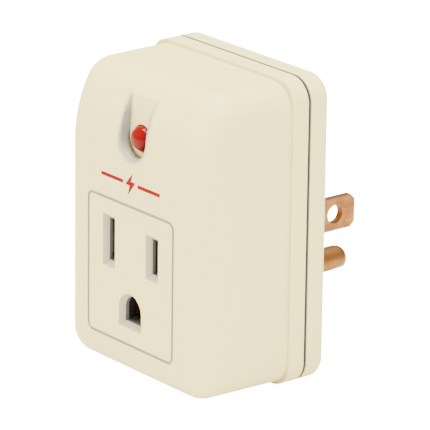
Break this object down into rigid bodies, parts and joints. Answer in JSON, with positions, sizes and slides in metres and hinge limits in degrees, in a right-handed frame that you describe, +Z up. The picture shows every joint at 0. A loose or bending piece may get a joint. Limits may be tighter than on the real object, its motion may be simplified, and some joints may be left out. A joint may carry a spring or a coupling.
{
  "type": "surge protector plug",
  "caption": "Grounded wall-plug surge protector with a single pass-through outlet, an indicator lamp in a scooped recess, flat blades and a ground pin.",
  "frame": {"origin": "on the wall plane (rear face of the back cover), midway between the two flat blades", "axes": "+X right as seen from the front, +Y into the wall along the blades, +Z up"},
  "size_m": [0.0408, 0.0514, 0.0586],
  "materials": {
    "case_plastic": "satin moulded, warm cream",
    "blade_brass": "brushed copper-toned brass",
    "contact_brass": "stamped, bare",
    "rivet_brass": "bright",
    "retainer_fibre": "matt dark grey board",
    "board_laminate": "bare brown laminate",
    "varistor_coating": "dipped blue epoxy",
    "fuse_can": "plain metal can",
    "resistor_body": "tan coating",
    "diode_body": "black epoxy",
    "tinned_wire": "tinned",
    "solder": "semi-gloss solder",
    "wire_black": "soft vinyl",
    "wire_white": "soft vinyl",
    "wire_green": "soft vinyl",
    "lamp_lens": "clear tinted epoxy, polished",
    "sleeve_plastic": "thin sleeving",
    "screw_steel": "zinc plated"
  },
  "bodies": {
    "root": {"front_housing": "case_plastic", "back_cover": "case_plastic", "line_blade": "blade_brass", "neutral_blade": "blade_brass", "ground_pin": "blade_brass", "line_contact": "contact_brass", "neutral_contact": "contact_brass", "ground_contact": "contact_brass", "contact_rivets": "rivet_brass", "contact_retainer": "retainer_fibre", "circuit_board": "board_laminate", "mov_line_neutral": "varistor_coating", "mov_line_ground": "varistor_coating", "mov_neutral_ground": "varistor_coating", "thermal_fuse": "fuse_can", "dropping_resistor": "resistor_body", "rectifier_diode": "diode_body", "component_leads": "tinned_wire", "solder_joints": "solder", "line_wire": "wire_black", "neutral_wire": "wire_white", "ground_wire": "wire_green", "indicator_lamp": "lamp_lens", "lamp_leads": "tinned_wire", "lamp_lead_sleeves": "sleeve_plastic", "cover_screws": "screw_steel"}
  },
  "joints": []
}
